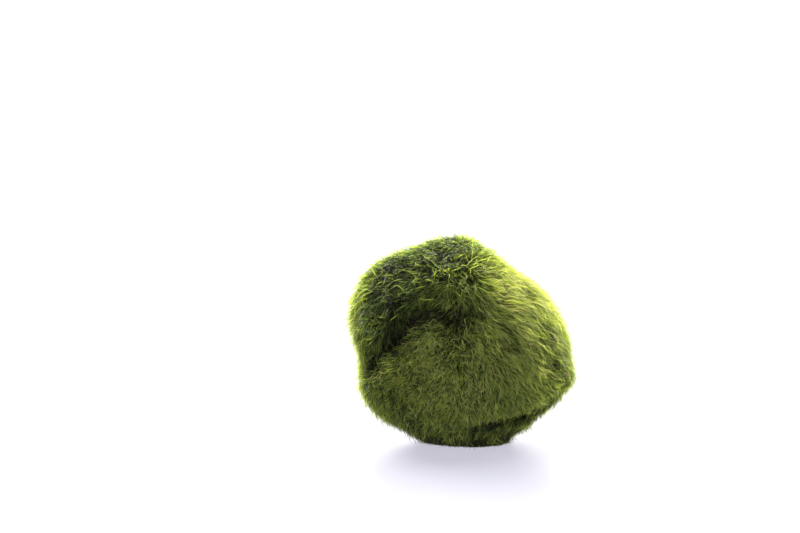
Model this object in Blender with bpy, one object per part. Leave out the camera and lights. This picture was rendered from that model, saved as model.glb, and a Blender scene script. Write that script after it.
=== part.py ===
"""A ball of felted green alga, resting on the small flat spot pressed into its underside.

The ball is one closed solid that reaches the tips of its fibres. It stands on the XY plane with the
middle of its box over the origin, and its front, where it has a dark dimple, faces -Y. Units are metres.
"""

import math
from dataclasses import dataclass

import bmesh
import bpy
from mathutils import Vector, geometry, noise

MM = 0.001

# The round mass before anything is pressed into it: half its width, depth and height, and its middle
HALF_SIZE = Vector((23.8, 23.2, 22.8)) * MM
MIDDLE = Vector((-0.2, 0.0, 22.0)) * MM

# How finely the surface is divided: level 5 gives triangles about 1.8 mm on a side
SPHERE_LEVEL = 5

# How often the folded surface is evened out, each point halfway towards the middle of its neighbours
SMOOTHING_ROUNDS = 2
SMOOTHING = 0.5

# Soft lumps all over, where bundles of fibres grew at different speeds
LUMP_SPACING = 9.0 * MM
LUMP_HEIGHT = 0.5 * MM
SMALL_LUMP_SPACING = 4.5 * MM
SMALL_LUMP_HEIGHT = 0.2 * MM
LUMP_OFFSET = Vector((3.1, 7.4, 1.9))

# Below this height the ball's own weight smooths the lumps away, down to none at the ground
PRESSED_SMOOTH = 5.0 * MM

# Points this near the ground are laid on it, so that the rim of the flat spot has no slivers
GROUND_SNAP = 0.45 * MM

MOSS_GREEN = (0.075, 0.125, 0.022, 1.0)
MOSS_ROUGHNESS = 0.85


@dataclass(frozen=True)
class Relief:
    """A swelling or a hollow of the surface along a path of points, or round about a path of one point.

    Places, reach and height are in millimetres. A height under zero is a hollow.
    """

    path: tuple
    reach: float
    height: float

    def distance(self, point):
        """From a point to the nearest place on the path, in metres."""
        places = [Vector(place) * MM for place in self.path]
        nearest = min((point - place).length for place in places)
        for start, end in zip(places, places[1:]):
            foot, along = geometry.intersect_point_line(point, start, end)
            if 0.0 < along < 1.0:
                nearest = min(nearest, (point - foot).length)
        return nearest

    def push(self, point):
        """How far this relief moves a point of the surface away from the ball's middle, in metres."""
        reaches = self.distance(point) / (self.reach * MM)
        return self.height * MM * math.exp(-reaches * reaches)


def round_relief(place, reach, height):
    """A swelling or hollow about one point."""
    return Relief((place,), reach, height)


# Where the front's long fold runs, from right to left
FRONT_FOLD = (
    (2.4, -21.5, 31.4),
    (-2.0, -22.0, 29.2),
    (-7.0, -21.5, 28.9),
    (-10.8, -20.0, 27.0),
    (-14.3, -17.5, 24.2),
    (-17.5, -14.5, 21.8),
    (-20.5, -10.0, 19.6),
)

RELIEFS = (
    # The outline: a crown, a flattened right shoulder, a full left shoulder and a blunt nub at the right
    round_relief((-1.5, -1.0, 45.0), 6.0, 1.5),
    round_relief((9.0, 3.0, 41.0), 8.5, -4.6),
    round_relief((18.0, 2.0, 34.0), 11.0, -4.3),
    round_relief((9.0, 0.0, 42.0), 5.0, -1.3),
    round_relief((-21.0, 3.0, 35.0), 10.0, 4.0),
    round_relief((24.5, -3.0, 13.4), 3.6, 3.2),
    # The underside: full at the left, drawn in and creased at the right, its rest spot right of centre
    round_relief((-20.0, 0.0, 7.5), 7.0, 1.8),
    round_relief((18.0, -3.0, 5.5), 4.0, 0.2),
    round_relief((13.0, -1.0, 2.8), 4.5, -1.6),
    round_relief((7.0, 0.0, 0.0), 7.0, 1.0),
    round_relief((-11.0, 0.0, 1.5), 5.0, 0.6),
    # The front: one long fold over the lower lobe, deepest in a dark dimple, and two small partings
    Relief(FRONT_FOLD, 3.0, -2.3),
    round_relief((-3.4, -22.0, 29.3), 4.2, -1.7),
    round_relief((5.6, -22.0, 25.5), 2.8, -1.0),
    round_relief((9.8, -21.0, 22.8), 2.6, -0.8),
    # The lobes on both sides of that fold swell over it
    round_relief((-2.0, -18.5, 36.5), 6.0, 0.8),
    round_relief((-17.0, -14.5, 29.0), 4.5, 0.8),
    round_relief((-7.0, -21.5, 22.0), 7.0, 0.9),
    # The fold under the right flank, and the flank swelling over it
    Relief(((3.0, -15.5, 5.9), (9.0, -14.5, 6.8), (15.6, -9.5, 7.9)), 2.6, -2.1),
    round_relief((11.0, -16.0, 12.5), 5.0, 0.6),
    # The back, which is guessed in the manner of the front: two low lobes with a soft fold between them
    round_relief((-11.0, 20.0, 16.0), 10.0, 1.2),
    round_relief((12.0, 19.0, 27.0), 9.0, 1.0),
    Relief(((-4.0, 22.0, 33.0), (0.0, 23.5, 23.0), (4.0, 22.5, 14.0)), 3.0, -1.5),
    round_relief((-8.0, 13.0, 39.0), 8.0, -1.0),
)


def swollen(point):
    """The place of a surface point after the lumps and every relief have moved it."""
    lumps = noise.noise(point / LUMP_SPACING + LUMP_OFFSET) * LUMP_HEIGHT
    lumps += noise.noise(point / SMALL_LUMP_SPACING - LUMP_OFFSET) * SMALL_LUMP_HEIGHT
    lumps *= min(1.0, max(0.0, point.z / PRESSED_SMOOTH))
    push = lumps + sum(relief.push(point) for relief in RELIEFS)
    return point + (point - MIDDLE).normalized() * push


def press_flat_spot(bm):
    """Cuts the underside off flat at the ground and closes the cut with one face."""
    for vert in bm.verts:
        if abs(vert.co.z) < GROUND_SNAP:
            vert.co.z = 0.0
    bmesh.ops.bisect_plane(
        bm,
        geom=bm.verts[:] + bm.edges[:] + bm.faces[:],
        dist=1e-7,
        plane_co=(0.0, 0.0, 0.0),
        plane_no=(0.0, 0.0, 1.0),
        clear_inner=True,
    )
    rim = [edge for edge in bm.edges if edge.is_boundary]
    bmesh.ops.contextual_create(bm, geom=rim)
    bmesh.ops.recalc_face_normals(bm, faces=bm.faces[:])


def centre_over_origin(bm):
    """Moves the ball sideways until the middle of its box is over the origin."""
    across = [vert.co.x for vert in bm.verts]
    deep = [vert.co.y for vert in bm.verts]
    shift = Vector((min(across) + max(across), min(deep) + max(deep), 0.0)) / 2
    bmesh.ops.translate(bm, verts=bm.verts[:], vec=-shift)


def moss_material():
    """Wet green algal felt: dull and dark, with no shine of its own."""
    material = bpy.data.materials.new("moss_felt")
    material.use_nodes = True
    shader = material.node_tree.nodes["Principled BSDF"]
    shader.inputs["Base Color"].default_value = MOSS_GREEN
    shader.inputs["Roughness"].default_value = MOSS_ROUGHNESS
    shader.inputs["Metallic"].default_value = 0.0
    material.diffuse_color = MOSS_GREEN
    return material


def build_moss_ball():
    """The felted ball, from a sphere that is swollen, folded and pressed flat below."""
    bm = bmesh.new()
    bmesh.ops.create_icosphere(bm, subdivisions=SPHERE_LEVEL, radius=1.0)
    for vert in bm.verts:
        vert.co = swollen(MIDDLE + vert.co * HALF_SIZE)
    for _ in range(SMOOTHING_ROUNDS):
        bmesh.ops.smooth_vert(
            bm, verts=bm.verts[:], factor=SMOOTHING, use_axis_x=True, use_axis_y=True, use_axis_z=True
        )
    press_flat_spot(bm)
    centre_over_origin(bm)
    mesh = bpy.data.meshes.new("moss_ball")
    bm.to_mesh(mesh)
    bm.free()
    mesh.shade_smooth()
    mesh.materials.append(moss_material())
    ball = bpy.data.objects.new("moss_ball", mesh)
    bpy.context.scene.collection.objects.link(ball)
    return ball


def main():
    for thing in list(bpy.data.objects):
        bpy.data.objects.remove(thing, do_unlink=True)
    build_moss_ball()


main()
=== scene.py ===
"""A marimo moss ball: a dark mat of matted alga with a coat of fine green filaments combed over it.

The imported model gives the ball's shape, which reaches the tips of the filaments. The mat is that shape
drawn inwards. The filaments are tapered blades of mesh that grow out of the mat in tufts, bend over the
way they are combed, and end at the ball's outline. Units are metres unless a name says otherwise.
"""

import logging
import math
from dataclasses import dataclass, field
from enum import Enum

import bmesh
import bpy
import numpy as np
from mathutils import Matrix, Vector
from mathutils.bvhtree import BVHTree
from mathutils.kdtree import KDTree

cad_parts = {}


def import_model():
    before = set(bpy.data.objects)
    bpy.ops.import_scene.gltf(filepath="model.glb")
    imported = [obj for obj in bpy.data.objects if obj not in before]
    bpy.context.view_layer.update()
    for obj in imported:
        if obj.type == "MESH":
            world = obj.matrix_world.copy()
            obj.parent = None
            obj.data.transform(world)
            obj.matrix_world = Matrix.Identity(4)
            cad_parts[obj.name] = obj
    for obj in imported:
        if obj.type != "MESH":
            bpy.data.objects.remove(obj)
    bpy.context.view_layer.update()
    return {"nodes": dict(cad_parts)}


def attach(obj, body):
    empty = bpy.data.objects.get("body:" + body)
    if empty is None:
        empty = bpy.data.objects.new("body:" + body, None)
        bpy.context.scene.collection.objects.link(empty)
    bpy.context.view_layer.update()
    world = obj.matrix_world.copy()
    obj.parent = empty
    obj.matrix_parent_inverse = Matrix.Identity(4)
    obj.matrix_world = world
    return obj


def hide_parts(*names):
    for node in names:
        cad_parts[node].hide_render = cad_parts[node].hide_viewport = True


LOG = logging.getLogger("marimo")
MM = 0.001
PALETTE_MAP = "OFBake"
BODY = "root"
NODE = "moss_ball"

# Across the filaments' map, dead brown shades come first and living ones after them
DEAD_TO = 0.1
LIVING_FROM = 0.14
MIDDLE_SHADE = 0.5


def linear(code: str) -> tuple[float, float, float, float]:
    """Turns an sRGB hex colour into the linear colour that shaders work in.

    Args:
        code: six hex digits, with or without a leading hash.

    Returns:
        Red, green, blue and an alpha of one.
    """
    digits = code.lstrip("#")
    shares = [int(digits[at : at + 2], 16) / 255 for at in (0, 2, 4)]
    light = [s / 12.92 if s <= 0.04045 else ((s + 0.055) / 1.055) ** 2.4 for s in shares]
    return light[0], light[1], light[2], 1.0


def add_node(
    tree: bpy.types.NodeTree,
    kind: str,
    settings: dict[str, object] | None = None,
    inputs: dict[str | int, object] | None = None,
) -> bpy.types.Node:
    """Adds one node, sets it up and links it.

    Args:
        tree: the node tree to add to.
        kind: the node's type name.
        settings: properties of the node itself.
        inputs: by socket name or number, a plain value or the output socket to link from.

    Returns:
        The new node.
    """
    node = tree.nodes.new(kind)
    for name, value in (settings or {}).items():
        setattr(node, name, value)
    for name, value in (inputs or {}).items():
        if isinstance(value, bpy.types.NodeSocket):
            tree.links.new(value, node.inputs[name])
        else:
            node.inputs[name].default_value = value
    return node


def set_ramp(node: bpy.types.Node, stops: tuple[tuple[float, str], ...]) -> None:
    """Gives a colour ramp its stops.

    Args:
        node: the Color Ramp node.
        stops: places from 0 to 1, each with its sRGB hex colour.
    """
    elements = node.color_ramp.elements
    while len(elements) < len(stops):
        elements.new(1.0)
    for element, (place, code) in zip(elements, stops):
        element.position = place
        element.color = linear(code)


def new_material(name: str) -> tuple[bpy.types.Material, bpy.types.NodeTree]:
    """Starts a node material with nothing in it.

    Args:
        name: the material's name.

    Returns:
        The material and its empty node tree.
    """
    material = bpy.data.materials.new(name)
    material.use_nodes = True
    material.node_tree.nodes.clear()
    return material, material.node_tree


@dataclass(frozen=True)
class MattedAlga:
    """Old filaments felted into a dense mat: nearly black brown olive, fully matt where it shows in gaps."""

    deep: str = "#13110b"
    pale: str = "#363818"
    roughness: float = 0.9
    gloss: float = 0.0
    strand_mm: float = 0.5
    patch_mm: float = 4.0

    def material(self) -> bpy.types.Material:
        """Builds the mat's material, reading Object coordinates."""
        material, tree = new_material("matted_alga")
        place = add_node(tree, "ShaderNodeTexCoord").outputs["Object"]
        strands = add_node(
            tree,
            "ShaderNodeTexNoise",
            inputs={"Vector": place, "Scale": 1 / (self.strand_mm * MM), "Detail": 2.0, "Distortion": 1.5},
        )
        patches = add_node(
            tree,
            "ShaderNodeTexNoise",
            inputs={"Vector": place, "Scale": 1 / (self.patch_mm * MM), "Detail": 1.0},
        )
        mixed = add_node(
            tree,
            "ShaderNodeMath",
            {"operation": "MULTIPLY"},
            {0: strands.outputs["Fac"], 1: patches.outputs["Fac"]},
        )
        ramp = add_node(tree, "ShaderNodeValToRGB", inputs={"Fac": mixed.outputs[0]})
        set_ramp(ramp, ((0.12, self.deep), (0.42, self.pale)))
        bump = add_node(
            tree,
            "ShaderNodeBump",
            inputs={"Height": strands.outputs["Fac"], "Strength": 0.6, "Distance": 0.2 * MM},
        )
        shader = add_node(
            tree,
            "ShaderNodeBsdfPrincipled",
            inputs={
                "Base Color": ramp.outputs["Color"],
                "Roughness": self.roughness,
                "Specular IOR Level": self.gloss,
                "Normal": bump.outputs["Normal"],
            },
        )
        add_node(tree, "ShaderNodeOutputMaterial", inputs={"Surface": shader.outputs[0]})
        return material


@dataclass(frozen=True)
class LivingFilament:
    """Wet green alga threads: thin enough to glow yellow-green where light comes through from behind.

    The piece's own map says what each thread looks like: across it runs the thread's shade, from dead
    brown to pale straw, and up it runs the way from root to tip, along which the colour is darkened
    towards the root as painted shade deep in the coat.
    """

    shades: tuple[tuple[float, str], ...] = (
        (0.00, "#33261c"),
        (0.10, "#715c48"),
        (0.13, "#1a1e12"),
        (0.32, "#384428"),
        (0.50, "#627342"),
        (0.68, "#8c9d50"),
        (0.85, "#b4c062"),
        (1.00, "#d4d888"),
    )
    glows: tuple[tuple[float, str], ...] = (
        (0.00, "#463320"),
        (0.10, "#987c5e"),
        (0.13, "#2c3016"),
        (0.32, "#768a36"),
        (0.50, "#b2cb48"),
        (0.80, "#dfee50"),
        (1.00, "#f4f274"),
    )
    painted_root_shade: float = 0.08
    through: float = 0.55
    roughness: float = 0.45
    gloss: float = 0.08

    def material(self) -> bpy.types.Material:
        """Builds the filaments' material, reading the piece's own map."""
        material, tree = new_material("living_alga_filament")
        where = add_node(tree, "ShaderNodeUVMap", {"uv_map": PALETTE_MAP})
        parts = add_node(tree, "ShaderNodeSeparateXYZ", inputs={0: where.outputs["UV"]})
        # Painted shade: each blade darkens from its tip down to its root, as the coat shades itself deep down
        root_shade = add_node(
            tree,
            "ShaderNodeMapRange",
            {"interpolation_type": "SMOOTHSTEP"},
            {
                "Value": parts.outputs["Y"],
                "From Min": 0.0,
                "From Max": 0.9,
                "To Min": self.painted_root_shade,
                "To Max": 1.0,
            },
        )
        colours = []
        for stops in (self.shades, self.glows):
            ramp = add_node(tree, "ShaderNodeValToRGB", inputs={"Fac": parts.outputs["X"]})
            set_ramp(ramp, stops)
            dimmed = add_node(
                tree,
                "ShaderNodeVectorMath",
                {"operation": "SCALE"},
                {0: ramp.outputs["Color"], "Scale": root_shade.outputs["Result"]},
            )
            colours.append(dimmed.outputs["Vector"])
        face = add_node(
            tree,
            "ShaderNodeBsdfPrincipled",
            inputs={"Base Color": colours[0], "Roughness": self.roughness, "Specular IOR Level": self.gloss},
        )
        glow = add_node(tree, "ShaderNodeBsdfTranslucent", inputs={"Color": colours[1]})
        both = add_node(
            tree,
            "ShaderNodeMixShader",
            inputs={0: self.through, 1: face.outputs[0], 2: glow.outputs[0]},
        )
        add_node(tree, "ShaderNodeOutputMaterial", inputs={"Surface": both.outputs[0]})
        return material


@dataclass(frozen=True)
class OpalAcrylic:
    """Glossy opal acrylic lit from below: white, with pale bluish shadows and a soft reflection in it."""

    colour: str = "#454549"
    glow: str = "#c3c1cf"
    roughness: float = 0.3

    def material(self) -> bpy.types.Material:
        """Builds the floor's material."""
        material, tree = new_material("opal_acrylic")
        shader = add_node(
            tree,
            "ShaderNodeBsdfPrincipled",
            inputs={
                "Base Color": linear(self.colour),
                "Roughness": self.roughness,
                "Emission Color": linear(self.glow),
                "Emission Strength": 1.0,
            },
        )
        add_node(tree, "ShaderNodeOutputMaterial", inputs={"Surface": shader.outputs[0]})
        return material


@dataclass(frozen=True)
class Lens:
    """The photograph's viewpoint, and the way back from a pixel of the 800 x 533 frame into the scene."""

    place: Vector = Vector((-13.904, -437.87, 68.92)) * MM
    tilt: float = math.radians(3.939)
    focal_mm: float = 90.0
    sensor_mm: float = 36.0
    frame: tuple[int, int] = (800, 533)

    def camera(self) -> bpy.types.Object:
        """Adds the camera and makes it the scene's own.

        Returns:
            The camera object.
        """
        data = bpy.data.cameras.new("camera")
        data.lens = self.focal_mm
        data.sensor_width = self.sensor_mm
        data.clip_start = 0.01
        data.clip_end = 50.0
        camera = bpy.data.objects.new("camera", data)
        camera.location = self.place
        camera.rotation_euler = (math.pi / 2 - self.tilt, 0.0, 0.0)
        bpy.context.scene.collection.objects.link(camera)
        bpy.context.scene.camera = camera
        return camera

    @property
    def axes(self) -> tuple[Vector, Vector, Vector]:
        """The directions to the right, upwards and forwards, as the picture shows them."""
        right = Vector((1.0, 0.0, 0.0))
        forward = Vector((0.0, math.cos(self.tilt), -math.sin(self.tilt)))
        return right, right.cross(forward), forward

    def ray(self, across: float, down: float) -> Vector:
        """The direction in which the camera sees a pixel.

        Args:
            across: pixels from the frame's left side.
            down: pixels from the frame's top.

        Returns:
            A unit vector.
        """
        right, upwards, forward = self.axes
        focal = self.frame[0] * self.focal_mm / self.sensor_mm
        aside = (across - self.frame[0] / 2) / focal
        above = (self.frame[1] / 2 - down) / focal
        return (forward + right * aside + upwards * above).normalized()


@dataclass(frozen=True)
class SoftLight:
    """One soft light far off: where it stands round the ball, how high, how wide it looks and how strong."""

    name: str
    azimuth: float
    elevation: float
    spread: float
    strength: float
    colour: tuple[float, float, float] = (1.0, 1.0, 1.0)

    def light(self) -> bpy.types.Object:
        """Adds the light, with azimuth 0 at the front and 90 at the right."""
        data = bpy.data.lights.new(self.name, "SUN")
        data.energy = self.strength
        data.angle = math.radians(self.spread)
        data.color = self.colour
        around, above = math.radians(self.azimuth), math.radians(self.elevation)
        outwards = Vector(
            (math.sin(around) * math.cos(above), -math.cos(around) * math.cos(above), math.sin(above))
        )
        lamp = bpy.data.objects.new(self.name, data)
        lamp.location = outwards
        lamp.rotation_euler = outwards.to_track_quat("Z", "Y").to_euler()
        bpy.context.scene.collection.objects.link(lamp)
        return lamp


@dataclass
class Studio:
    """A white room: a pale floor, a bright surround and soft light from behind and above."""

    floor_side: float = 12.0
    backdrop: float = 1.2
    surround: float = 0.85
    front_surround: float = 0.38
    bright_side: tuple[float, float, float] = (0.55, 0.83, 0.0)
    lights: tuple[SoftLight, ...] = (
        SoftLight("back_light", 178.0, 56.0, 60.0, 5.0),
        SoftLight("right_light", 140.0, 38.0, 45.0, 13.0),
        SoftLight("left_rim_light", 207.0, 24.0, 24.0, 15.0),
        SoftLight("front_fill_light", 8.0, 8.0, 40.0, 1.9, (0.92, 0.96, 1.0)),
    )

    def build(self) -> None:
        """Adds the floor, the surround and the lights."""
        self._floor()
        self._surround()
        for light in self.lights:
            light.light()
        bpy.context.scene.view_settings.view_transform = "Standard"

    def _floor(self) -> bpy.types.Object:
        """Lays the floor at height zero."""
        bm = bmesh.new()
        bmesh.ops.create_grid(bm, x_segments=1, y_segments=1, size=self.floor_side / 2)
        mesh = bpy.data.meshes.new("floor")
        bm.to_mesh(mesh)
        bm.free()
        mesh.materials.append(OpalAcrylic().material())
        floor = bpy.data.objects.new("floor", mesh)
        bpy.context.scene.collection.objects.link(floor)
        return floor

    def _surround(self) -> None:
        """Lights the room evenly from behind and above, and less from the front."""
        world = bpy.data.worlds.new("white_room")
        world.use_nodes = True
        tree = world.node_tree
        tree.nodes.clear()
        place = add_node(tree, "ShaderNodeTexCoord").outputs["Generated"]
        towards_light = add_node(
            tree,
            "ShaderNodeVectorMath",
            {"operation": "DOT_PRODUCT"},
            {0: place, 1: self.bright_side},
        )
        fade = add_node(
            tree,
            "ShaderNodeMapRange",
            {"interpolation_type": "SMOOTHSTEP"},
            {
                "Value": towards_light.outputs["Value"],
                "From Min": -0.6,
                "From Max": 0.6,
                "To Min": self.front_surround,
                "To Max": self.surround,
            },
        )
        path = add_node(tree, "ShaderNodeLightPath")
        mirrored = add_node(
            tree,
            "ShaderNodeMath",
            {"operation": "MAXIMUM"},
            {0: path.outputs["Is Camera Ray"], 1: path.outputs["Is Glossy Ray"]},
        )
        strength = add_node(
            tree,
            "ShaderNodeMix",
            {"data_type": "FLOAT"},
            {0: mirrored.outputs[0], 2: fade.outputs["Result"], 3: self.backdrop},
        )
        light = add_node(
            tree,
            "ShaderNodeBackground",
            inputs={"Color": (1.0, 1.0, 1.0, 1.0), "Strength": strength.outputs[0]},
        )
        add_node(tree, "ShaderNodeOutputWorld", inputs={"Surface": light.outputs[0]})
        bpy.context.scene.world = world


@dataclass
class FeltMat:
    """The ball's body under its coat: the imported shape, smoothed, drawn inwards and sunk along creases."""

    depth: float = 1.7 * MM
    pressed_depth: float = 0.2 * MM
    pressed_height: float = 3.0 * MM
    finer: int = 2
    smoothing_rounds: int = 5
    piece: bpy.types.Object | None = None
    _roots: np.ndarray | None = None
    _outwards: np.ndarray | None = None

    def build(self, node: bpy.types.Object, lay: "Lay") -> bpy.types.Object:
        """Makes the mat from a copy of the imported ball.

        Args:
            node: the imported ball, which is left as it is.
            lay: how the coat lies, which says where the creases run.

        Returns:
            The mat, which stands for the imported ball.
        """
        bm = bmesh.new()
        bm.from_mesh(node.data)
        bmesh.ops.remove_doubles(bm, verts=bm.verts[:], dist=0.01 * MM)
        bmesh.ops.subdivide_edges(bm, edges=bm.edges[:], cuts=self.finer, use_grid_fill=True, smooth=0.0)
        for _ in range(self.smoothing_rounds):
            bmesh.ops.smooth_vert(
                bm, verts=bm.verts[:], factor=0.5, use_axis_x=True, use_axis_y=True, use_axis_z=True
            )
        bmesh.ops.recalc_face_normals(bm, faces=bm.faces[:])
        bm.normal_update()
        places = np.array([vert.co for vert in bm.verts])
        self._outwards = np.array([vert.normal for vert in bm.verts])
        # Where the ball's weight presses it flat, the mat itself comes down almost to the ground
        self._roots = places - self._outwards * self._depth_at(places[:, 2])[:, None]
        self._roots -= self._outwards * lay.quality(self._roots, "sunk_mm")[:, None] * MM
        for vert, root in zip(bm.verts, self._roots):
            vert.co = root
        bm.normal_update()
        mesh = bpy.data.meshes.new("felt_mat")
        bm.to_mesh(mesh)
        bm.free()
        mesh.shade_smooth()
        mesh.materials.append(MattedAlga().material())
        self.piece = bpy.data.objects.new("felt_mat", mesh)
        bpy.context.scene.collection.objects.link(self.piece)
        return self.piece

    def _depth_at(self, heights: np.ndarray) -> np.ndarray:
        """How far under the ball's outline the mat lies at each height over the ground."""
        share = np.clip(heights / self.pressed_height, 0.0, 1.0)
        share = share * share * (3 - 2 * share)
        return self.pressed_depth + (self.depth - self.pressed_depth) * share

    def points(self) -> tuple[np.ndarray, np.ndarray]:
        """The mat's vertices, and the directions straight out of the ball there.

        Returns:
            Two arrays of one row a vertex.
        """
        return self._roots, self._outwards


@dataclass(frozen=True)
class Comb:
    """A place on the ball with the way that the filaments lie there.

    The place is a pixel of the frame for the side that the camera sees, or an azimuth in degrees and a
    height in millimetres for the rest. The lay is an angle in degrees as seen from straight outside:
    0 is to the right and -90 is down.
    """

    place: tuple[float, float]
    lay: float
    reach_mm: float = 4.0
    weight: float = 1.0


@dataclass(frozen=True)
class Patch:
    """A place on the ball where the coat differs: by length in mm, lift in degrees, shade or disorder.

    Where it is even, pale and dark filaments come nearer to the coat's middle shade, and where it is
    flat, they are pressed down on the mat. A shift in shade is the filaments' own colour in some places and
    painted light or shade in others.
    """

    place: tuple[float, float]
    reach_mm: float
    length_mm: float = 0.0
    lift: float = 0.0
    shade: float = 0.0
    unruly: float = 0.0
    dead: float = 0.0
    sunk_mm: float = 0.0
    even: float = 0.0
    flat: float = 0.0


@dataclass(frozen=True)
class Crease:
    """A narrow fold along a path of pixels: short filaments in it darkened with painted shade, with some dead
    brown ones among them, and others lying along its lips.
    """

    path: tuple[tuple[float, float], ...]
    half_width_mm: float = 1.0
    length_mm: float = -2.0
    lift: float = -10.0
    # Painted shade of the fold: how much darker its filaments are
    shade: float = -0.3
    unruly: float = 0.0
    dead: float = 0.25
    sunk_mm: float = 1.4
    even: float = 0.8
    lip_mm: float = 2.6
    lip_weight: float = 3.0
    lip_length_mm: float = -0.6
    lip_lift: float = -12.0
    lip_unruly: float = -0.8


@dataclass
class Lay:
    """How the coat lies all over the ball, from combs, patches and creases."""

    outline: bpy.types.Object
    lens: Lens
    front_combs: tuple[Comb, ...]
    round_combs: tuple[Comb, ...]
    front_patches: tuple[Patch, ...]
    round_patches: tuple[Patch, ...]
    creases: tuple[Crease, ...]
    root_depth: float = 1.7 * MM
    down_pull: float = 0.35
    _tree: BVHTree | None = None
    _combs: list[tuple[np.ndarray, np.ndarray, float, float]] = field(default_factory=list)
    _patches: list[tuple[np.ndarray, Patch]] = field(default_factory=list)
    _creases: list[tuple[np.ndarray, Crease]] = field(default_factory=list)

    def settle(self) -> None:
        """Finds where every comb, patch and crease sits, at the depth of the roots."""
        mesh = self.outline.data
        corners = [vert.co for vert in mesh.vertices]
        self._tree = BVHTree.FromPolygons(corners, [face.vertices[:] for face in mesh.polygons])
        for combs, find in ((self.front_combs, self._seen), (self.round_combs, self._around)):
            for comb in combs:
                place, right, upwards = find(comb.place)
                angle = math.radians(comb.lay)
                lay = right * math.cos(angle) + upwards * math.sin(angle)
                self._combs.append((np.array(place), np.array(lay), comb.reach_mm * MM, comb.weight))
        for patches, find in ((self.front_patches, self._seen), (self.round_patches, self._around)):
            for patch in patches:
                self._patches.append((np.array(find(patch.place)[0]), patch))
        for crease in self.creases:
            self._creases.append((np.array([self._seen(pixel)[0] for pixel in crease.path]), crease))

    def _seen(self, pixel: tuple[float, float]) -> tuple[Vector, Vector, Vector]:
        """The root depth under what the camera sees at a pixel, with the picture's right and up."""
        right, upwards, _ = self.lens.axes
        hit, normal, _, _ = self._tree.ray_cast(self.lens.place, self.lens.ray(*pixel))
        if hit is None:
            raise ValueError(f"no part of the ball shows at pixel {pixel}")
        return hit - normal * self.root_depth, right, upwards

    def _around(self, place: tuple[float, float]) -> tuple[Vector, Vector, Vector]:
        """The root depth under an azimuth and height, with right and up as seen from outside."""
        azimuth, height = math.radians(place[0]), place[1] * MM
        outside = Vector((math.sin(azimuth), -math.cos(azimuth), 0.0))
        start = outside * 0.1 + Vector((0.0, 0.0, height))
        hit, normal, _, _ = self._tree.ray_cast(start, -outside)
        if hit is None:
            raise ValueError(f"the ball isn't reached at azimuth and height {place}")
        right = Vector((math.cos(azimuth), math.sin(azimuth), 0.0))
        return hit - normal * self.root_depth, right, Vector((0.0, 0.0, 1.0))

    def directions(self, places: np.ndarray, normals: np.ndarray) -> np.ndarray:
        """The way that filaments lie along the mat.

        Args:
            places: roots, one a row.
            normals: the directions straight out of the mat there.

        Returns:
            Unit vectors along the mat.
        """
        lays = np.zeros_like(places)
        lays[:, 2] = -self.down_pull
        for place, lay, reach, weight in self._combs:
            near = np.exp(-((places - place) ** 2).sum(1) / reach**2)
            lays += weight * near[:, None] * lay
        lays = unit(lays)
        for path, crease in self._creases:
            gap, way = beside(places, path)
            near = np.exp(-((gap / (crease.lip_mm * MM)) ** 2))
            lays += crease.lip_weight * near[:, None] * way
        return unit(lays - normals * (lays * normals).sum(1, keepdims=True))

    def quality(self, places: np.ndarray, name: str) -> np.ndarray:
        """How much the patches and creases add to one quality of the coat.

        Args:
            places: roots, one a row.
            name: the field to add up.

        Returns:
            One number a root.
        """
        total = np.zeros(len(places))
        for place, patch in self._patches:
            amount = getattr(patch, name)
            if amount:
                total += amount * np.exp(-((places - place) ** 2).sum(1) / (patch.reach_mm * MM) ** 2)
        for path, crease in self._creases:
            gap = beside(places, path)[0]
            total += getattr(crease, name, 0.0) * np.exp(-((gap / (crease.half_width_mm * MM)) ** 4))
            total += getattr(crease, "lip_" + name, 0.0) * np.exp(-((gap / (crease.lip_mm * MM)) ** 2))
        return total


def beside(places: np.ndarray, path: np.ndarray) -> tuple[np.ndarray, np.ndarray]:
    """How places lie beside a path.

    Args:
        places: points, one a row.
        path: the path's own points, one a row.

    Returns:
        Each place's distance from the path, and the way that the path runs there.
    """
    gap = np.full(len(places), np.inf)
    way = np.zeros_like(places)
    for start, end in zip(path, path[1:]):
        step = end - start
        share = np.clip((places - start) @ step / (step @ step), 0.0, 1.0)
        distance = np.linalg.norm(places - start - share[:, None] * step, axis=1)
        nearer = distance < gap
        gap[nearer] = distance[nearer]
        way[nearer] = unit(step)
    return gap, way


def unit(vectors: np.ndarray) -> np.ndarray:
    """Scales vectors along the last axis to a length of one."""
    return vectors / np.maximum(np.linalg.norm(vectors, axis=-1, keepdims=True), 1e-12)


def ripple(places: np.ndarray, spacing_mm: float, seed: int, waves: int = 9) -> np.ndarray:
    """A smooth irregular pattern over the ball, from a few waves in random directions.

    Args:
        places: points, one a row.
        spacing_mm: about how far apart its crests are.
        seed: picks the pattern.
        waves: how many waves are added up.

    Returns:
        One number a point, about -1 to 1.
    """
    rng = np.random.default_rng(seed)
    ways = unit(rng.normal(size=(waves, 3))) * rng.uniform(0.7, 1.4, (waves, 1))
    phases = rng.uniform(0.0, 2 * math.pi, waves)
    turns = places @ ways.T * (2 * math.pi / (spacing_mm * MM)) + phases
    return np.sin(turns).sum(1) * math.sqrt(2 / waves) / 1.5


class Blade(Enum):
    """The forms of a filament: places from root to tip, each with its share of the full width."""

    LEAF = ((0.0, 0.0), (0.45, 1.0), (1.0, 0.0))
    LASH = ((0.0, 0.0), (0.2, 1.0), (0.45, 1.0), (0.72, 0.8), (1.0, 0.0))

    @property
    def stations(self) -> np.ndarray:
        """The places along the filament."""
        return np.array([place for place, _ in self.value])

    @property
    def widths(self) -> np.ndarray:
        """The shares of its full width there."""
        return np.array([width for _, width in self.value])


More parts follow.
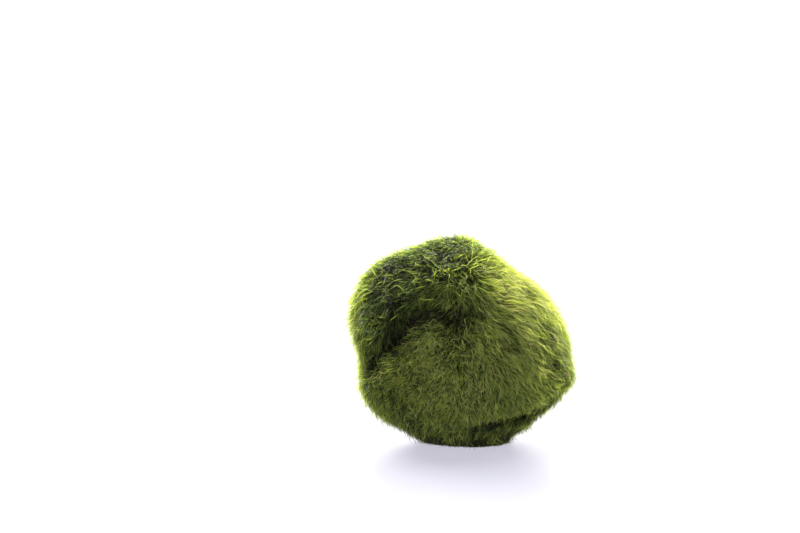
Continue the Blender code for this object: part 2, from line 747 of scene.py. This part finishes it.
@dataclass(frozen=True)
class Pile:
    """One layer of the coat: how its tufts and filaments are made."""

    name: str
    blade: Blade
    per_tuft: int
    width_mm: float
    width_spread: float
    length_mm: float
    length_spread: float
    lift: float
    curl: float
    tuft_radius_mm: float
    gather: float
    lock_gather: float
    stray: float
    wave: float
    shade: float
    shade_spread: float
    dead: float = 0.015
    tuft_share: float = 1.0
    seed: int = 1


@dataclass
class Coat:
    """All the filaments of one pile, grown from tufts on the mat and joined into a few meshes.

    Each "own" field is how far one tuft or filament differs from its neighbours, and each "wave" field
    how far the coat changes slowly from place to place. Swing and lift are in degrees.
    """

    pile: Pile
    lay: Lay
    mat: FeltMat
    pieces: int = 2
    floor_gap: float = 0.03 * MM
    lock_area: float = 3.2 * MM * MM
    lock_seed: int = 21
    parting_width: float = 0.7 * MM
    painted_parting_shade: float = 0.16
    parting_short: float = 0.2
    ball_area: float = 7000.0 * MM * MM
    map_reach: float = 0.004
    tuft_jitter: float = 0.27 * MM
    swing_wave: float = 18.0
    swing_own: float = 14.0
    lift_own: float = 6.0
    lift_stray: float = 0.6
    length_wave: float = 0.12
    length_own: float = 0.08
    shade_wave: float = 0.05
    shade_own: float = 0.05
    roll_reach: float = 1.0

    def build(self) -> list[bpy.types.Object]:
        """Grows the pile and shares it out among its pieces, going round the ball.

        Returns:
            The new objects.
        """
        rng = np.random.default_rng(self.pile.seed)
        centres, normals = self.mat.points()
        if self.pile.tuft_share < 1.0:
            kept = rng.random(len(centres)) < self.pile.tuft_share
            centres, normals = centres[kept], normals[kept]
        azimuth = np.arctan2(centres[:, 0], -centres[:, 1])
        order = np.argsort(azimuth, kind="stable")
        centres, normals = centres[order], normals[order]
        paths, sides, shades = self._grow(centres, normals, rng)
        sides = sides * rng.lognormal(0.0, self.pile.width_spread, shades.shape)[..., None, None]
        made = []
        for number, share in enumerate(np.array_split(np.arange(len(centres)), self.pieces)):
            name = f"{self.pile.name}_{number + 1}"
            made.append(self._join(name, paths[share], sides[share], shades[share]))
        return made

    def _grow(
        self, centres: np.ndarray, normals: np.ndarray, rng: np.random.Generator
    ) -> tuple[np.ndarray, np.ndarray, np.ndarray]:
        """Grows every filament of every tuft.

        Args:
            centres: the tufts' middles on the mat.
            normals: the directions straight out of the mat there.
            rng: where every random draw comes from.

        Returns:
            The filaments' paths (tuft, filament, station, xyz), the directions across them, and shades.
        """
        pile, count, each = self.pile, len(centres), self.pile.per_tuft
        along = self.lay.directions(centres, normals)
        across = np.cross(normals, along)
        # The tufts stand a little off the grid of the mat's vertices
        jitter = rng.normal(0.0, self.tuft_jitter, (count, 2))
        centres = centres + along * jitter[:, :1] + across * jitter[:, 1:]
        unruly = np.clip(1.0 + self.lay.quality(centres, "unruly"), 0.2, 3.0)
        swing = np.radians(self.swing_wave) * ripple(centres, 7.0, 11)
        swing = swing + rng.normal(0.0, np.radians(self.swing_own), count)
        swing = swing * unruly
        lift = pile.lift + self.lay.quality(centres, "lift") + rng.normal(0.0, self.lift_own, count) * unruly
        length = pile.length_mm + self.lay.quality(centres, "length_mm") * pile.length_mm / 3.0
        uneven = rng.normal(0.0, self.length_own, count) * unruly
        length = length * (1 + self.length_wave * ripple(centres, 5.0, 12) + uneven)
        even = np.clip(self.lay.quality(centres, "even"), -0.6, 0.8)
        shade = pile.shade + (MIDDLE_SHADE - pile.shade) * even + self.lay.quality(centres, "shade")
        shade = shade + self.shade_wave * ripple(centres, 6.0, 13) + rng.normal(0.0, self.shade_own, count)
        middles, parted = self._locks(centres)
        parted = parted / np.maximum(unruly, 1.0)
        # Painted shade: filaments darken towards the partings between locks
        shade = shade - self.painted_parting_shade * parted
        length = length * (1 - self.parting_short * parted)

        press = np.clip(1.0 - self.lay.quality(centres, "flat"), 0.25, 1.5)[:, None]

        # Every filament differs a little from its tuft
        stray = pile.stray * unruly[:, None]
        own_swing = swing[:, None] + rng.normal(0.0, 1.0, (count, each)) * stray
        own_lift = np.radians(lift)[:, None] + rng.normal(0.0, self.lift_stray, (count, each)) * stray
        own_length = length[:, None] * (1 + rng.normal(0.0, pile.length_spread, (count, each)))
        own_length = np.clip(own_length, 0.5, 6.0) * MM
        waves = rng.normal(0.0, pile.wave, (count, each))
        spots = rng.normal(0.0, pile.tuft_radius_mm * MM, (count, each, 2))
        roots = centres[:, None] + along[:, None] * spots[..., :1] + across[:, None] * spots[..., 1:]

        own = self._paths(roots, normals, along, across, own_swing, own_lift, own_length, waves, press)
        axis = self._paths(
            centres[:, None],
            normals,
            along,
            across,
            swing[:, None],
            np.radians(lift)[:, None],
            length[:, None] * MM,
            np.zeros((count, 1)),
            press,
        )
        stations = pile.blade.stations[None, None, :, None]
        drawn = rng.uniform(0.4, 1.0, (count, each)) / np.maximum(unruly, 1.0)[:, None]
        drawn = drawn[..., None, None]
        paths = own + (axis - own) * pile.gather * drawn * stations**1.3

        # Tufts lean together into locks, which leaves partings between them, also darkened by the painted
        # shade above
        lean = (axis[middles] - axis) * pile.lock_gather * drawn * stations**1.6
        paths = paths + lean

        shades = shade[:, None] + rng.normal(0.0, pile.shade_spread, (count, each)) * (1.0 - even)[:, None]
        shades = np.clip(shades, LIVING_FROM, 0.98)
        dead_share = pile.dead + self.lay.quality(centres, "dead")
        dead = rng.random((count, each)) < dead_share[:, None]
        shades = np.where(dead, rng.uniform(0.02, DEAD_TO, (count, each)), shades)
        steps = np.diff(paths, axis=2)
        steps = unit(np.concatenate([steps, steps[:, :, -1:]], axis=2))
        rolls = rng.uniform(-self.roll_reach, self.roll_reach, (count, each))[..., None, None]
        flat = unit(np.cross(steps, normals[:, None, None]))
        edge = np.cross(steps, flat)
        sides = flat * np.cos(rolls) + edge * np.sin(rolls)
        return paths, sides, shades

    def _locks(self, centres: np.ndarray) -> tuple[np.ndarray, np.ndarray]:
        """Shares the tufts out among locks.

        Args:
            centres: the tufts' middles.

        Returns:
            For each tuft, the number of the tuft in the middle of its lock, and how nearly it stands in a
            parting: 0 well inside its lock and 1 on the border with the next.
        """
        rng = np.random.default_rng(self.lock_seed)
        heads = rng.choice(len(centres), int(self.ball_area / self.lock_area), replace=False)
        tree = KDTree(len(heads))
        for head in heads:
            tree.insert(centres[head], int(head))
        tree.balance()
        found = [tree.find_n(centre, 2) for centre in centres]
        middles = np.array([nearest[1] for nearest, _ in found])
        gaps = np.array([second[2] - nearest[2] for nearest, second in found])
        return middles, np.clip(1.0 - gaps / self.parting_width, 0.0, 1.0)

    def _paths(
        self,
        roots: np.ndarray,
        normals: np.ndarray,
        along: np.ndarray,
        across: np.ndarray,
        swing: np.ndarray,
        lift: np.ndarray,
        length: np.ndarray,
        wave: np.ndarray,
        press: np.ndarray,
    ) -> np.ndarray:
        """Bends filaments over from their roots to their tips.

        Args:
            roots: where they start (tuft, filament, xyz).
            normals: straight out of the mat, one a tuft.
            along: the way that each tuft is combed.
            across: at right angles to both.
            swing: how far each filament turns from its tuft's lay, in radians.
            lift: how far it stands up from the mat at its middle, in radians.
            length: its length.
            wave: how far it curves sideways between its root and its tip, in radians.
            press: what is left of its rise where the coat is flat.

        Returns:
            The points of every filament (tuft, filament, station, xyz).
        """
        stations = self.pile.blade.stations
        middles = (stations[1:] + stations[:-1]) / 2
        bend = np.radians(self.pile.curl) * (0.5 - middles)
        rise = (lift[..., None] + 2 * bend) * press[..., None]
        turn = (swing[..., None] + wave[..., None] * (middles - 0.5) * 2)[..., None]
        heading = along[:, None, None] * np.cos(turn) + across[:, None, None] * np.sin(turn)
        ways = heading * np.cos(rise)[..., None] + normals[:, None, None] * np.sin(rise)[..., None]
        steps = ways * (np.diff(stations)[None, None, :] * length[..., None])[..., None]
        path = np.concatenate([np.zeros_like(steps[:, :, :1]), np.cumsum(steps, axis=2)], axis=2)
        return roots[:, :, None] + path

    def _join(self, name: str, paths: np.ndarray, sides: np.ndarray, shades: np.ndarray) -> bpy.types.Object:
        """Joins filaments into one mesh of tapered blades.

        Args:
            name: the piece's name.
            paths: points of each filament (tuft, filament, station, xyz).
            sides: directions across each filament at each station.
            shades: each filament's place across the palette.

        Returns:
            The new object, not yet dressed.
        """
        stations, widths = self.pile.blade.stations, self.pile.blade.widths
        paths = paths.reshape(-1, len(stations), 3)
        sides = sides.reshape(-1, len(stations), 3)
        shades = shades.reshape(-1)
        half = self.pile.width_mm * MM / 2

        # One row of points a station: a single point where the blade has no width, or else two
        verts, places, rows = [], [], []
        for level, width in enumerate(widths):
            hands = (-1.0, 1.0) if width > 0.0 else (0.0,)
            rows.append(tuple(range(len(verts), len(verts) + len(hands))))
            for hand in hands:
                verts.append(paths[:, level] + sides[:, level] * hand * width * half)
                across = np.clip(shades + hand * self.map_reach, 0.0, 1.0)
                upwards = np.full(len(paths), 0.01 + 0.98 * stations[level])
                places.append(np.stack([across, upwards], axis=-1))
        verts = np.stack(verts, axis=1)
        verts[..., 2] = np.maximum(verts[..., 2], self.floor_gap)
        uv = np.stack(places, axis=1).reshape(-1, 2)

        one = []
        for low, high in zip(rows, rows[1:]):
            if len(low) == 2:
                one.append((low[0], low[1], high[-1]))
            if len(high) == 2:
                one.append((low[0], high[1], high[0]))
        faces = np.array(one)[None] + (np.arange(len(paths)) * verts.shape[1])[:, None, None]
        return mesh_object(name, verts.reshape(-1, 3), faces.reshape(-1, 3), uv)


def mesh_object(name: str, verts: np.ndarray, faces: np.ndarray, uv: np.ndarray) -> bpy.types.Object:
    """Makes an object of triangles with a map.

    Args:
        name: its name.
        verts: points, one a row.
        faces: three point numbers a row.
        uv: the map's place of each point.

    Returns:
        The object, linked to the scene.
    """
    mesh = bpy.data.meshes.new(name)
    mesh.vertices.add(len(verts))
    mesh.vertices.foreach_set("co", verts.astype(np.float32).ravel())
    mesh.loops.add(faces.size)
    mesh.loops.foreach_set("vertex_index", faces.astype(np.int32).ravel())
    mesh.polygons.add(len(faces))
    mesh.polygons.foreach_set("loop_start", np.arange(0, faces.size, 3, dtype=np.int32))
    mesh.update(calc_edges=True)
    layer = mesh.uv_layers.new(name=PALETTE_MAP)
    layer.uv.foreach_set("vector", uv[faces.ravel()].astype(np.float32).ravel())
    mesh.shade_smooth()
    thing = bpy.data.objects.new(name, mesh)
    bpy.context.scene.collection.objects.link(thing)
    return thing


FRONT_COMBS = (
    # The crown, which falls outwards on both sides
    Comb((450, 246), -120),
    Comb((480, 252), -20),
    # The right shoulder, combed over to the right and down
    Comb((500, 272), -10),
    Comb((520, 292), -18),
    Comb((540, 312), -32),
    Comb((553, 335), -42),
    Comb((560, 352), -46),
    Comb((508, 300), -14),
    Comb((525, 325), -30),
    Comb((540, 350), -38),
    # Around the dimple the filaments fan out downwards
    Comb((495, 320), -20),
    Comb((520, 345), -42),
    Comb((495, 345), -52),
    Comb((480, 345), -66),
    Comb((462, 345), -90),
    Comb((442, 345), -102),
    Comb((422, 348), -114),
    # The left lobe, combed down and to the left
    Comb((375, 345), -104),
    Comb((372, 312), -92),
    Comb((395, 290), -94),
    Comb((420, 280), -106),
    Comb((445, 280), -84),
    Comb((470, 280), -62),
    # The lower lobe, hanging straight down in the middle and outwards at its sides
    Comb((400, 368), -106),
    Comb((378, 385), -96),
    Comb((430, 400), -98),
    Comb((460, 400), -90),
    Comb((490, 390), -76),
    Comb((515, 385), -60),
    Comb((400, 410), -112),
    # The nub and the flank below it
    Comb((545, 385), -24),
    Comb((561, 372), -6),
    Comb((550, 365), -20),
    Comb((530, 403), -48),
    Comb((500, 414), -70),
    # The foot
    Comb((425, 428), -110),
    Comb((495, 430), -30),
    Comb((515, 424), -20),
)

ROUND_COMBS = (
    Comb((90, 36), -90),
    Comb((90, 14), -60),
    Comb((130, 30), -120),
    Comb((180, 36), -90),
    Comb((165, 24), -40),
    Comb((200, 24), -140),
    Comb((180, 10), -90),
    Comb((230, 30), -60),
    Comb((270, 30), -110),
    Comb((270, 12), -70),
)

FRONT_PATCHES = (
    # The crown and the upper left lie flat, the crown every way, and are darkened with painted shadow
    Patch((455, 247), 8.0, shade=-0.22, unruly=1.2, sunk_mm=-0.9, even=0.3, flat=0.55),
    Patch((473, 270), 5.0, shade=-0.1, unruly=0.5, sunk_mm=-0.3, flat=0.2),
    Patch((400, 268), 9.0, shade=-0.24, unruly=0.5, sunk_mm=-0.8, even=0.4, flat=0.5),
    # The right shoulder is long and sleek, its filaments paler: partly their own colour, partly painted light
    # falling from behind and to the right
    Patch((522, 303), 13.0, length_mm=0.9, lift=-5.0, shade=0.29, unruly=-0.6, even=-0.3),
    Patch((500, 266), 6.0, length_mm=-0.4, lift=-10.0, shade=0.2, unruly=-0.3),
    # The left side stands out a little further, its upper edge painted paler where light from behind catches
    # it
    Patch((355, 312), 5.5, length_mm=0.9, lift=8.0, shade=0.14, sunk_mm=-0.4),
    Patch((364, 380), 5.5, length_mm=0.6, lift=10.0, shade=-0.05, sunk_mm=-0.35),
    Patch((386, 414), 4.5, length_mm=0.6, lift=10.0, shade=0.05, sunk_mm=-0.1),
    # The left lobe is flat, even and darkened with painted shadow, and the lower one is short with no strict
    # lay
    Patch((384, 316), 7.0, shade=-0.26, unruly=0.5, sunk_mm=-0.4, even=0.3, flat=0.3),
    Patch((405, 385), 7.0, length_mm=-0.8, lift=-8.0, unruly=1.2, sunk_mm=-0.4),
    Patch((450, 390), 8.0, length_mm=-0.8, lift=-4.0, unruly=0.8, sunk_mm=-0.3),
    # The lower lobe a little paler and more varied, and darker right of the dimple
    Patch((418, 370), 7.0, shade=0.15, even=-0.4),
    Patch((460, 402), 7.0, shade=0.09, even=-0.4),
    Patch((480, 360), 8.0, even=-0.4),
    Patch((512, 322), 5.0, shade=-0.12),
    # Painted shade on the lower left edge
    Patch((376, 380), 3.0, shade=-0.12),
    # The dimple: dead brown filaments inside, and painted shade darkening the hollow
    Patch((464, 314), 2.2, length_mm=-1.3, shade=-0.24, dead=0.2, sunk_mm=0.4),
    Patch((453, 314), 2.2, length_mm=-1.5, shade=-0.26, dead=0.2, sunk_mm=0.6),
    Patch((476, 303), 1.6, length_mm=-0.8, shade=-0.2, dead=0.1),
    # Small holes between the tufts, darkened with painted shade
    Patch((493, 299), 1.0, length_mm=-1.0, shade=-0.22),
    # The brown spot on the nub, brownish filaments on the right flank, and darker filaments at the right edge
    # and beside the nub
    Patch((565, 377), 1.3, length_mm=-0.5, shade=-0.4, dead=0.6),
    Patch((552, 335), 4.0, shade=-0.16, dead=0.25),
    Patch((562, 352), 4.0, shade=-0.2),
    Patch((556, 374), 3.5, shade=-0.12),
    # The foot's own lobe is painted paler at its right edge and on its face, where light falls, and painted
    # shade darkens the coat under the ball
    Patch((532, 418), 2.6, length_mm=0.3, lift=8.0, shade=0.14, sunk_mm=-0.8),
    Patch((500, 434), 3.0, shade=0.12),
    Patch((425, 434), 3.5, shade=-0.1),
    Patch((460, 440), 3.0, shade=-0.1),
)

CREASES = (
    # The long fold between the left lobe and the lower one, from the dimple down to the left
    Crease(
        ((446, 313), (430, 312), (416, 317), (405, 329), (394, 341), (383, 352), (372, 361)), 1.5, sunk_mm=1.6
    ),
    # The fold above the foot, under the right flank
    Crease(((536, 411), (520, 417), (502, 423), (482, 428)), 1.2, -1.5, shade=-0.22, dead=0.1, sunk_mm=0.8),
    # Small partings between the tufts right of the dimple, darkened with painted shade
    Crease(((494, 321), (507, 333)), 0.7, shade=-0.3, sunk_mm=0.9, lip_mm=1.0, lip_weight=0.5),
    Crease(((499, 339), (512, 345)), 0.7, shade=-0.3, sunk_mm=0.9, lip_mm=1.0, lip_weight=0.5),
)

ROUND_PATCHES = (
    Patch((180, 30), 8.0, length_mm=0.4, shade=0.06),
    # Painted shade: darker low down at the sides and the back, near the ground
    Patch((90, 2), 8.0, shade=-0.2),
    Patch((270, 2), 8.0, shade=-0.2),
    Patch((180, 2), 8.0, shade=-0.2),
    # Brown dead filaments where the ball presses on what it stands on, and painted shade darkening the coat
    # there
    Patch((0, 0.8), 4.0, length_mm=-0.7, lift=-8.0, shade=-0.16, dead=0.25),
    Patch((45, 0.8), 4.0, length_mm=-0.7, lift=-8.0, shade=-0.16, dead=0.25),
    Patch((90, 0.8), 4.0, length_mm=-0.7, lift=-8.0, shade=-0.16, dead=0.25),
    Patch((135, 0.8), 4.0, length_mm=-0.7, lift=-8.0, shade=-0.16, dead=0.25),
    Patch((180, 0.8), 4.0, length_mm=-0.7, lift=-8.0, shade=-0.16, dead=0.25),
    Patch((225, 0.8), 4.0, length_mm=-0.7, lift=-8.0, shade=-0.16, dead=0.25),
    Patch((270, 0.8), 4.0, length_mm=-0.7, lift=-8.0, shade=-0.16, dead=0.25),
    Patch((315, 0.8), 4.0, length_mm=-0.7, lift=-8.0, shade=-0.16, dead=0.25),
)

UNDERCOAT = Pile(
    name="undercoat",
    blade=Blade.LEAF,
    per_tuft=4,
    width_mm=0.16,
    width_spread=0.2,
    length_mm=1.8,
    length_spread=0.2,
    lift=40.0,
    curl=30.0,
    tuft_radius_mm=0.35,
    gather=0.1,
    lock_gather=0.1,
    stray=0.5,
    wave=0.3,
    shade=0.26,
    shade_spread=0.08,
    seed=5,
)

TOPCOAT = Pile(
    name="topcoat",
    blade=Blade.LEAF,
    per_tuft=8,
    width_mm=0.105,
    width_spread=0.3,
    length_mm=2.6,
    length_spread=0.2,
    lift=30.0,
    curl=24.0,
    tuft_radius_mm=0.3,
    gather=0.3,
    lock_gather=0.25,
    stray=0.4,
    wave=0.25,
    shade=0.4,
    shade_spread=0.18,
    seed=7,
)

STRANDS = Pile(
    name="strands",
    blade=Blade.LASH,
    per_tuft=2,
    width_mm=0.09,
    width_spread=0.3,
    length_mm=3.8,
    length_spread=0.22,
    lift=26.0,
    curl=54.0,
    tuft_radius_mm=0.3,
    gather=0.1,
    lock_gather=0.12,
    stray=0.5,
    wave=0.5,
    shade=0.68,
    shade_spread=0.22,
    seed=9,
)

STRAYS = Pile(
    name="stray_hairs",
    blade=Blade.LASH,
    per_tuft=1,
    width_mm=0.09,
    width_spread=0.2,
    length_mm=3.2,
    length_spread=0.3,
    lift=46.0,
    curl=34.0,
    tuft_radius_mm=0.5,
    gather=0.0,
    lock_gather=0.0,
    stray=0.9,
    wave=0.6,
    shade=0.8,
    shade_spread=0.1,
    tuft_share=0.45,
    seed=13,
)


def main() -> None:
    """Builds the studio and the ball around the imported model, and reports each piece."""
    logging.basicConfig(level=logging.INFO, format="%(message)s")
    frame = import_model()
    lens = Lens()
    lens.camera()
    Studio().build()
    mat = FeltMat()
    lay = Lay(frame["nodes"][NODE], lens, FRONT_COMBS, ROUND_COMBS, FRONT_PATCHES, ROUND_PATCHES, CREASES)
    lay.settle()
    mat.build(frame["nodes"][NODE], lay)
    filament = LivingFilament().material()
    pieces = [mat.piece]
    for pile, parts in ((UNDERCOAT, 1), (TOPCOAT, 2), (STRANDS, 2), (STRAYS, 1)):
        for piece in Coat(pile, lay, mat, parts).build():
            piece.data.materials.append(filament)
            pieces.append(piece)
    total = 0
    for piece in pieces:
        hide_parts(NODE)
        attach(piece, BODY)
        triangles = sum(len(face.vertices) - 2 for face in piece.data.polygons)
        total += triangles
        LOG.info("%s: %d triangles", piece.name, triangles)
    LOG.info("all pieces: %d triangles", total)


if __name__ == "__main__":
    main()
